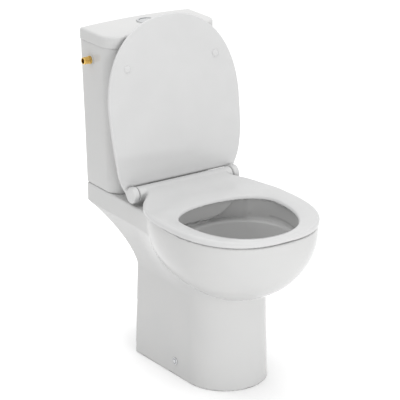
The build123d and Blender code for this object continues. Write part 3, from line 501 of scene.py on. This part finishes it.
def make_tank():
    centre = (0, (TANK_FRONT + WALL_Y) / 2)
    base_z, top_z = tank_low.z, tank_high.z
    floor_z = base_z + TANK_FLOOR

    def edge(x, y, z=base_z):
        return bowed(tank_half(z), TANK_FRONT, TANK_BOW, WALL_Y, TANK_CORNER, REAR_CORNER, x, y)

    # (height, inset) of each ring: up the outside, over the top edge and down the inside
    angles = even_angles(edge, centre, OUTLINE_POINTS)
    outer = [(base_z + 4 - h, 4 - d) for d, h in arc((0, 0), 4, 0, 90, 6)][::-1]
    outer += [(float(height), 0) for height in np.linspace(base_z + 12, top_z - 2, 16)]
    outer += [(top_z - 0.6, 0.15), (top_z, 0.8)]
    inner = [(top_z, TANK_WALL - 0.8), (top_z - 0.6, TANK_WALL)]
    inner += [(float(height), TANK_WALL) for height in np.linspace(top_z - 4, floor_z + 12, 12)]
    turns = np.linspace(0.3, pi / 2, 5)
    inner += [(floor_z + 6 - 6 * sin(a), TANK_WALL + 6 - 6 * cos(a)) for a in turns]
    rings = []
    for height, inset in outer + inner:
        points = outline(lambda x, y: edge(x, y, height) + inset, centre, angles)
        rings.append(at_height(points, height))
    return ring_piece("cistern_body", rings, crease=60)


def lid_crown(x):
    """Height of the lid's gently rounded top."""
    return lid_high.z - LID_DROP * (x / LID_DROP_AT) ** 2


def make_lid():
    centre = (0.0, (collar_low.y + collar_high.y) / 2)
    low_z = tank_high.z

    def edge(x, y):
        return bowed(lid_high.x, LID_FRONT, TANK_BOW, WALL_Y, TANK_CORNER + 2, REAR_CORNER, x, y)

    angles = even_angles(edge, centre, OUTLINE_POINTS)

    def raised(points, height=None, fall=0.0):
        """The points at one height, or that far below the crown."""
        return at_height(points, lid_crown(points[:, 0]) - fall if height is None else height)

    def ring(inset, height=None, fall=0.0):
        return raised(outline(lambda x, y: edge(x, y) + inset, centre, angles), height, fall)

    def circle(radius, height=None, fall=0.0):
        spokes = np.column_stack([np.cos(angles), np.sin(angles)])
        return raised(np.array(centre) + radius * spokes, height, fall)

    def between(share):
        outside, inside = ring(LID_ROUND)[:, :2], circle(LID_RECESS + 2)[:, :2]
        return raised(outside * (1 - share) + inside * share)

    # up the side and over the top to the push button's recess
    rings = [ring(1.2, low_z), ring(0.4, low_z + 0.35), ring(0, low_z + 1.4)]
    rings += [ring(0, low_z + share * 17) for share in (0.3, 0.65, 1.0)]
    turns = np.linspace(0, pi / 2, 9)
    rings += [ring(LID_ROUND * (1 - cos(a)), fall=LID_ROUND * (1 - sin(a))) for a in turns]
    rings += [between(share) for share in (0.06, 0.2, 0.4, 0.6, 0.8, 0.93)]
    rings += [circle(LID_RECESS + 0.6), circle(LID_RECESS + 0.1, fall=0.4)]
    rings += [circle(LID_RECESS, fall=1.2)]
    # down through the hole and back along the underside
    rings += [circle(LID_RECESS, COLLAR_SEAT_Z), circle(LID_BORE, COLLAR_SEAT_Z)]
    rings += [circle(LID_BORE, LID_PLATE_Z)]
    hub, underside = circle(LID_HUB, LID_PLATE_Z), ring(LID_WALL + 1, LID_PLATE_Z)
    rings += [hub] + [hub * (1 - share) + underside * share for share in (0.33, 0.67, 1.0)]
    rings += [ring(LID_WALL, LID_PLATE_Z - 1.5), ring(LID_WALL, low_z + 1)]
    rings += [ring(LID_WALL - 0.8, low_z)]
    return ring_piece("lid_shell", rings, closed=True, crease=50)


# ------------------------------------------------------------------ seat and cover
BAR_RADIUS, BAR_HALF = 17.8, 131.8
EAR_RADIUS, EAR_START, EAR_END = 19.6, 133.4, 150.0
EAR_ROOM, BAR_ROOM = 0.4, 5.0  # gaps between the cover and the seat's bar
SEAT_POWER, COVER_POWER, HOLE_POWER = 2.42, 2.2, 2.22
SEAT_LENGTH, COVER_LENGTH, COVER_START = 407.0, 406.0, -2.0
HOLE_HALF, HOLE_REAR, HOLE_WIDE, HOLE_FRONT = 131.0, 116.0, 198.0, 370.0
# (v, half width), with v running forward from the hinge
seat_shoulder = [
    (-30, 124), (4, 124), (12, 120), (20, 117.5), (29, 122), (39, 132),
    (50, 145), (66, 157), (93, 169), (130, 177), (190, 180),
]
cover_shoulder = [(-30, 150), (0, 151), (18, 160), (38, 168), (75, 174.5), (115, 179), (190, 182)]
SEAT_UNDER = RIM_Z + RIM_RISE + 0.9 - HINGE_Z
SEAT_LIFT, LIFT_STEP = 3.0, (-60, -14)  # the underside rises by this over this span of -v
DISH_DEPTH, DISH_WIDTH = 8.0, 44.0  # how the top falls towards the hole
# (v, height over the hinge) of the seat's top and of the cover's two faces
seat_ramp = [(-40, 17.0), (-4, 17.0), (10, 14.8), (30, 9.8), (60, 1.4), (92, -3), (130, -3)]
cover_back = [
    (-30, 19.9), (0, 19.9), (24, 18.2), (60, 12.4),
    (100, 9.6), (200, 9.8), (330, 8.9), (406, 7),
]
cover_face = [(-30, 17.2), (0, 16.8), (24, 14.2), (60, 6.2), (96, 1.3), (125, 1.0), (406, 1.0)]
# room in the seat for the hinge posts: beside them, round the pins, and in front of and
# below them as boxes (v, height, half length, half height)
POST_ROOM, PIN_ROOM = 10.6, 12.6
post_boxes = [(-9.5, -13, 17.1, 14), (-14, -8, 14, 19)]


def lid_outline(x, v, shoulder, length, power):
    """Field of a seat's or a cover's plan, v running forward from the hinge."""
    wide, half = shoulder[-1]
    nose = (oval(x, np.maximum(v - wide, 0), half, length - wide, power) - 1) * half
    slope = through(shoulder, v + 0.5) - through(shoulder, v - 0.5)
    side = (abs(x) - through(shoulder, v)) / np.sqrt(1 + slope**2)
    return np.where(v > wide, nose, side)


def seat_field(x, y, z):
    v, h = HINGE_Y - y, z - HINGE_Z
    under = SEAT_UNDER + SEAT_LIFT * ease(-v, *LIFT_STEP)
    rim = even_hole(x, v, h)
    top = through(seat_ramp, v) - DISH_DEPTH * np.maximum(1 - rim / DISH_WIDTH, 0) ** 2
    crown = meet(meet(even_plan(x, v, h), h - top, 7), -rim, 6)
    body = meet(meet(crown, under - h, 1.2), 4 - v, 2)
    bar = meet(np.hypot(v, h) - BAR_RADIUS, abs(x) - BAR_HALF, 1.5)
    body = join(body, bar, 3)
    room = np.hypot(v, h) - PIN_ROOM
    for at_v, at_h, half_v, half_h in post_boxes:
        room = np.minimum(room, np.maximum(abs(v - at_v) - half_v, abs(h - at_h) - half_h))
    beside = abs(abs(x) - HINGE_POST_X) - POST_ROOM
    return cut(body, np.maximum(beside, room), 1)


# the plans do not change with height, and 0 * h only gives them the grid's full shape
def seat_plan(x, v, h):
    return lid_outline(x, v, seat_shoulder, SEAT_LENGTH, SEAT_POWER) + 0 * h


def seat_hole(x, v, h):
    return egg(x, v, HOLE_HALF, HOLE_REAR, HOLE_WIDE, HOLE_FRONT, HOLE_POWER) + 0 * h


def cover_plan(x, v, h):
    return lid_outline(x, v, cover_shoulder, COVER_LENGTH, COVER_POWER) + 0 * h


even_plan, even_hole, even_cover_plan = evened(seat_plan), evened(seat_hole), evened(cover_plan)


def cover_field(x, v, h):
    plate = meet(even_cover_plan(x, v, h), h - through(cover_back, v), 3.6)
    plate = meet(meet(plate, through(cover_face, v) - h, 3.2), COVER_START - v, 1)
    bar_room = np.maximum(np.hypot(v, h) - BAR_RADIUS - BAR_ROOM, abs(x) - EAR_START + EAR_ROOM)
    plate = cut(plate, bar_room, 0.8)
    middle, half = (EAR_START + EAR_END) / 2, (EAR_END - EAR_START) / 2
    ear = meet(np.hypot(v, h) - EAR_RADIUS, abs(abs(x) - middle) - half, 4)
    return join(plate, ear, 3)


def cover_place():
    """The cover's own frame: x across, y along it from the hinge, z out of its top."""
    along = Vector((0, sin(COVER_LEAN), cos(COVER_LEAN)))
    out = Vector((0, cos(COVER_LEAN), -sin(COVER_LEAN)))
    turn = Matrix((Vector((-1, 0, 0)), along, out)).transposed()
    return Matrix.Translation((0, HINGE_Y, HINGE_Z)) @ turn.to_4x4()


def make_seat():
    margin = 5
    low = (seat_low.x - margin, seat_low.y - margin, seat_low.z - margin)
    high = (-low[0], seat_high.y + margin, seat_high.z + margin)
    return field_piece("seat_moulding", seat_field, low, high, SEAT_STEP)


def make_cover():
    low, high = (-188, -25, -25), (188, 412, 25)
    return field_piece("cover_moulding", cover_field, low, high, COVER_STEP, cover_place())


def make_seat_buffers():
    """Four oblong pads between the seat and the bowl's rim."""
    low_z, high_z = RIM_Z + RIM_RISE + 0.3, HINGE_Z + SEAT_UNDER + 0.6
    profile = [(4.9, low_z), (5.3, low_z + 0.15), (5.5, low_z + 0.5), (5.5, high_z)]
    count, half_straight = 40, 6.5
    angles = np.arange(count) * 2 * pi / count
    straight = half_straight * np.sign(np.sin(angles))
    for name, x, y in (
        ("seat_buffer_rear_left", -148, -10),
        ("seat_buffer_rear_right", 148, -10),
        ("seat_buffer_front_left", -112, -212),
        ("seat_buffer_front_right", 112, -212),
    ):
        rings = []
        for radius, height in profile:
            along_x, along_y = x + radius * np.cos(angles), y + straight + radius * np.sin(angles)
            rings.append(at_height(np.stack([along_x, along_y], 1), height))
        finish_piece(ring_piece(name, rings, crease=50), "pale_rubber", "seat", "seat_buffers")


def make_cover_buffers():
    """Two round pads on the cover's inner face."""
    pad_x, pad_v = 123, 294
    profile = [(0.001, -2.6), (3, -2.5), (5.4, -2.1), (7.4, -1.3), (8.8, -0.2), (9.6, 1.4)]
    profile += [(0.001, 1.4)]
    place = cover_place()
    for name, side in (("cover_buffer_left", -1), ("cover_buffer_right", 1)):
        centre = place @ Vector((side * pad_x, pad_v, 0))
        piece = lathe(name, profile, (centre, place.to_3x3()), 48, crease=60)
        finish_piece(piece, "seat_plastic", "cover", "cover_buffers")


# --------------------------------------------------------------- small fittings
def sideways(at, outward):
    """Place of a turned piece that stands out from a side wall, outward -1 or 1 along x."""
    turn = Matrix(((0, 0, outward), (0, 1, 0), (-outward, 0, 0)))
    return Vector(at), turn


def thread(radius, start, end, pitch=1.8, depth=0.6):
    """Profile of a row of rounded ridges, each one pitch long."""
    points = []
    for ridge in range(int((end - start) / pitch)):
        for share, rise in ((0, 0), (0.25, 0.8), (0.5, 1), (0.75, 0.8)):
            points.append((radius - depth * (1 - rise), start + (ridge + share) * pitch))
    return points


def make_inlet():
    """The threaded inlet tail with its nut and flange on the cistern's side."""
    low, high = (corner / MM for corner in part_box("inlet_tail"))
    y, z, radius = (low.y + high.y) / 2, (low.z + high.z) / 2, (high.z - low.z) / 2
    bore, shank, trim = 6.2, 7.9, 1.5  # the tail is shorter than in the CAD by the trim
    nut_face, flange_face = (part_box(name)[0].x / MM for name in ("inlet_backnut", "inlet_flange"))
    wall_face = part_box("inlet_flange")[1].x / MM
    tip = nut_face - low.x - trim
    place = sideways((nut_face, y, z), -1)
    tube = [(shank, nut_face - high.x), (shank, 0.0)] + thread(radius, 0.2, tip - 1.2)
    tube += [(radius - 0.7, tip - 1.0), (radius - 1.4, tip), (bore + 0.5, tip), (bore, tip - 0.5)]
    tube += [(bore, nut_face - high.x)]
    finish_piece(lathe("inlet_tube", tube, place, 56, 30), "brass", "root", "inlet_tail")
    for name, slot, node, face, rear, rim in (
        ("inlet_nut", "brass", "inlet_backnut", nut_face, flange_face, 9.8),
        ("inlet_disc", "valve_plastic", "inlet_flange", flange_face, wall_face, 11.8),
    ):
        depth = rear - face
        ring = [(shank, -depth), (rim, -depth), (rim, -0.7), (rim - 0.7, 0.0), (shank, 0.0)]
        finish_piece(lathe(name, ring, sideways((face, y, z), -1), 56, 30), slot, "root", node)


def make_screw_caps():
    """Two caps on the foot's sides, each a ring with a button in its middle."""
    low, high = (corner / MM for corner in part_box("screw_caps"))
    y, z = (low.y + high.y) / 2, (low.z + high.z) / 2
    height = 4.0
    base = high.x - height
    profile = [(9.4, -2.0), (9.4, 1.2), (8.9, 2.1), (7.8, 2.5), (7.0, 2.1), (6.7, 0.5), (5.8, 0.3)]
    profile += [(5.5, 1.2), (5.3, 2.9), (4.4, 3.7), (2.4, 4.2), (0.001, 4.4)]
    for name, side in (("screw_cap_left", -1), ("screw_cap_right", 1)):
        cap = lathe(name, profile, sideways((side * base, y, z), side), 56, 30)
        finish_piece(cap, "chrome", "root", "screw_caps")


# -------------------------------------------------------------------- materials
def material(name, colour, roughness, metallic=0.0):
    made = bpy.data.materials.new(name)
    made.use_nodes = True
    nodes = made.node_tree.nodes
    shader = nodes["Principled BSDF"]
    shader.inputs["Base Color"].default_value = (*colour, 1)
    shader.inputs["Roughness"].default_value = roughness
    shader.inputs["Metallic"].default_value = metallic
    return made, nodes, made.node_tree.links, shader


def noise(nodes, links, scale, detail=2.0):
    """Noise in the object's own space, scale in repeats a metre."""
    place = nodes.new("ShaderNodeTexCoord")
    texture = nodes.new("ShaderNodeTexNoise")
    texture.inputs["Scale"].default_value = scale
    texture.inputs["Detail"].default_value = detail
    links.new(place.outputs["Object"], texture.inputs["Vector"])
    return texture.outputs["Fac"]


def spread(nodes, links, source, low, high):
    """The source's middle range spread from low to high."""
    ramp = nodes.new("ShaderNodeMapRange")
    ramp.inputs["From Min"].default_value = 0.3
    ramp.inputs["From Max"].default_value = 0.7
    ramp.inputs["To Min"].default_value = low
    ramp.inputs["To Max"].default_value = high
    links.new(source, ramp.inputs["Value"])
    return ramp.outputs["Result"]


def tinted(nodes, links, source, one, two):
    """A colour between the two, by the source."""
    mix = nodes.new("ShaderNodeMix")
    mix.data_type = "RGBA"
    mix.inputs["A"].default_value = (*one, 1)
    mix.inputs["B"].default_value = (*two, 1)
    links.new(source, mix.inputs["Factor"])
    return mix.outputs["Result"]


def bumped(nodes, links, shader, layers):
    """Bump from layers of (height source, depth in metres)."""
    normal = None
    for source, depth in layers:
        bump = nodes.new("ShaderNodeBump")
        bump.inputs["Strength"].default_value = 1.0
        bump.inputs["Distance"].default_value = depth
        links.new(source, bump.inputs["Height"])
        if normal is not None:
            links.new(normal, bump.inputs["Normal"])
        normal = bump.outputs["Normal"]
    links.new(normal, shader.inputs["Normal"])


def glaze():
    """White vitreous glaze: glossy, faintly uneven, with a slow ripple."""
    made, nodes, links, shader = material("glaze", (0.5, 0.5, 0.5), 0.1)
    cool, warm = (0.445, 0.446, 0.444), (0.459, 0.458, 0.455)
    cloud = spread(nodes, links, noise(nodes, links, 9), 0, 1)
    links.new(tinted(nodes, links, cloud, cool, warm), shader.inputs["Base Color"])
    links.new(spread(nodes, links, noise(nodes, links, 45), 0.08, 0.17), shader.inputs["Roughness"])
    ripple, grain = noise(nodes, links, 16, 1), noise(nodes, links, 420)
    bumped(nodes, links, shader, [(ripple, 0.0006), (grain, 0.00001)])
    shader.inputs["Specular IOR Level"].default_value = 0.3
    return made


def moulded(name, colour, low, high, grain_depth):
    """Moulded plastic with a slight sheen and a fine grain."""
    made, nodes, links, shader = material(name, colour, (low + high) / 2)
    darker = tuple(0.97 * value for value in colour)
    cloud = spread(nodes, links, noise(nodes, links, 14), 0, 1)
    links.new(tinted(nodes, links, cloud, darker, colour), shader.inputs["Base Color"])
    links.new(spread(nodes, links, noise(nodes, links, 60), low, high), shader.inputs["Roughness"])
    ripple, grain = noise(nodes, links, 22, 1), noise(nodes, links, 900)
    bumped(nodes, links, shader, [(ripple, 0.0003), (grain, grain_depth)])
    return made


def metal(name, colour, low, high, scratch_depth):
    """Polished or plated metal with fine wear in its roughness."""
    made, nodes, links, shader = material(name, colour, low, metallic=1.0)
    darker = tuple(0.8 * value for value in colour)
    cloud = spread(nodes, links, noise(nodes, links, 90, 5), 0, 1)
    links.new(tinted(nodes, links, cloud, darker, colour), shader.inputs["Base Color"])
    links.new(spread(nodes, links, noise(nodes, links, 300, 4), low, high), shader.inputs["Roughness"])
    bumped(nodes, links, shader, [(noise(nodes, links, 1500, 3), scratch_depth)])
    return made


materials = {
    "ceramic": glaze(),
    "seat_plastic": moulded("seat_plastic", (0.475, 0.476, 0.476), 0.14, 0.22, 0.000004),
    "valve_plastic": moulded("valve_plastic", (0.47, 0.478, 0.47), 0.35, 0.5, 0.00002),
    "grey_plastic": moulded("grey_plastic", (0.16, 0.2, 0.25), 0.35, 0.5, 0.00002),
    "pale_rubber": moulded("pale_rubber", (0.49, 0.49, 0.482), 0.3, 0.4, 0.00001),
    "black_rubber": moulded("black_rubber", (0.02, 0.02, 0.02), 0.6, 0.8, 0.00004),
    "chrome": metal("chrome", (0.66, 0.67, 0.68), 0.04, 0.12, 0.000002),
    "steel": metal("steel", (0.5, 0.5, 0.5), 0.25, 0.42, 0.00001),
    "brass": metal("brass", (0.78, 0.52, 0.16), 0.12, 0.3, 0.00001),
}


def finish_piece(piece, slot, body, *nodes):
    """Gives a new piece its material, its body and the CAD nodes it stands for."""
    piece.data.materials.append(materials[slot])
    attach(piece, body)
    if nodes:
        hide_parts(*nodes)


# -------------------------------------------------------------------- assembly
slot_of = {part["node"]: part["material_slot"] for part in frame["record"]["subparts"]}
for node_name, node in frame["nodes"].items():
    node.data.materials.clear()
    node.data.materials.append(materials[slot_of[node_name]])

finish_piece(make_pan(), "ceramic", "root", *pan_nodes)
finish_piece(make_tank(), "ceramic", "root", "cistern_tank")
finish_piece(make_lid(), "ceramic", "root", "cistern_lid")
finish_piece(make_seat(), "seat_plastic", "seat", "seat_ring")
finish_piece(make_cover(), "seat_plastic", "cover", "seat_cover")
make_seat_buffers()
make_cover_buffers()
make_inlet()
make_screw_caps()


# ------------------------------------------------------------- floor, light, camera
def make_floor():
    mesh = bpy.data.meshes.new("floor")
    size = 40.0
    corners = [(-size, -size, 0), (size, -size, 0), (size, size, 0), (-size, size, 0)]
    mesh.from_pydata(corners, [], [(0, 1, 2, 3)])
    floor = bpy.data.objects.new("floor", mesh)
    bpy.context.scene.collection.objects.link(floor)
    made, _, _, shader = material("studio_floor", (0.95, 0.95, 0.95), 0.9)
    shader.inputs["Specular IOR Level"].default_value = 0.0
    floor.data.materials.append(made)


def area_light(name, place, aim, size, power, mirrored):
    """A rectangular light, in metres and watts, seen in reflections only if mirrored."""
    lamp = bpy.data.lights.new(name, "AREA")
    lamp.shape = "RECTANGLE"
    lamp.size, lamp.size_y = size
    lamp.energy = power
    light = bpy.data.objects.new(name, lamp)
    light.location = place
    light.rotation_euler = (Vector(aim) - Vector(place)).to_track_quat("-Z", "Y").to_euler()
    light.visible_glossy = mirrored
    bpy.context.scene.collection.objects.link(light)


def make_world(strength):
    world = bpy.data.worlds.new("studio")
    world.use_nodes = True
    background = world.node_tree.nodes["Background"]
    background.inputs["Color"].default_value = (1, 1, 1, 1)
    background.inputs["Strength"].default_value = strength
    bpy.context.scene.world = world


def make_camera():
    """The camera fitted to the photo: angles in radians, distances in metres."""
    azimuth, elevation, distance = -0.5983, 0.3557, 4.3798
    target = Vector((-0.03356, -0.01005, 0.42878))
    sensor_mm, lens_mm = 36.0, 170.51
    back = Vector((sin(azimuth) * cos(elevation), -cos(azimuth) * cos(elevation), sin(elevation)))
    data = bpy.data.cameras.new("camera")
    data.sensor_width = sensor_mm
    data.lens = lens_mm
    camera = bpy.data.objects.new("camera", data)
    camera.location = target + back * distance
    camera.rotation_euler = (-back).to_track_quat("-Z", "Y").to_euler()
    bpy.context.scene.collection.objects.link(camera)
    bpy.context.scene.camera = camera


make_floor()
make_world(1.05)
area_light("overhead", (0.0, 0.5, 3.4), (0, 0, 0.3), (2.8, 2.8), 58, False)
area_light("front_fill", (-0.6, -4.2, 0.7), (0, 0, 0.4), (2.6, 1.0), 72, False)
make_camera()
bpy.context.scene.view_settings.view_transform = "Standard"
